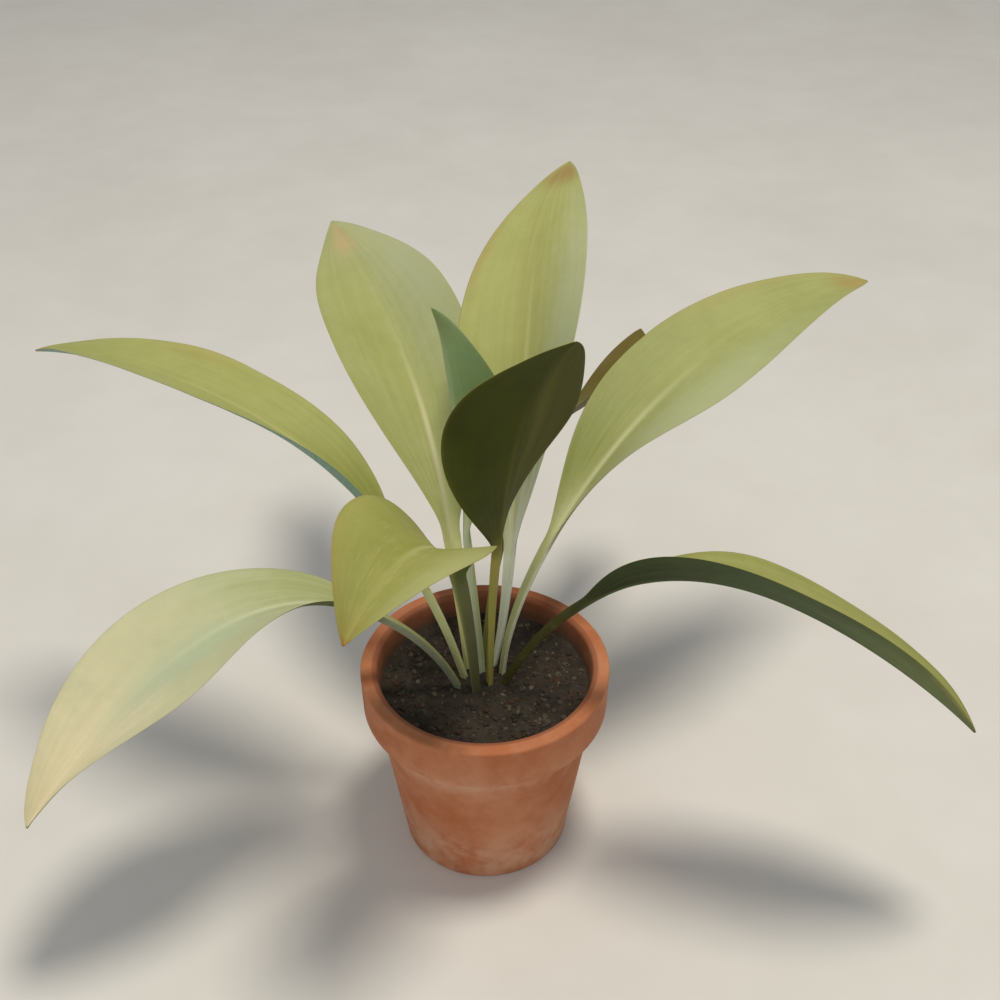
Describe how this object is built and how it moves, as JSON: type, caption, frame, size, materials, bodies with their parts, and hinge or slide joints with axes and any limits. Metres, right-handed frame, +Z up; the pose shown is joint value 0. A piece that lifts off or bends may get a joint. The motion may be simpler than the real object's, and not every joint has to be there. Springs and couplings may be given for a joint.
{
  "type": "potted cast-iron plant",
  "caption": "Broad-leaved foliage plant with arching, folded leaves on channelled stalks, in a soil-filled terracotta pot that stands on its flat foot.",
  "frame": {"origin": "middle of the pot's flat foot, on the surface it stands on", "axes": "+Z up along the pot's axis, -Y toward the viewer, +X to the viewer's right"},
  "size_m": [0.6529, 0.5469, 0.445],
  "materials": {
    "terracotta": "unglazed fired clay, matte",
    "soil": "dark crumbly potting soil, matte",
    "leaf": "satin yellow-green leaf with a darker olive underside"
  },
  "bodies": {
    "root": {"pot": "terracotta", "soil": "soil", "leaf_far_left": "leaf", "leaf_low_left": "leaf", "leaf_back_left": "leaf", "leaf_front_upright": "leaf", "leaf_back_middle": "leaf", "leaf_front_arched": "leaf", "leaf_inner_left": "leaf", "leaf_far_right": "leaf", "leaf_low_right": "leaf", "leaf_back_right": "leaf"}
  },
  "joints": []
}
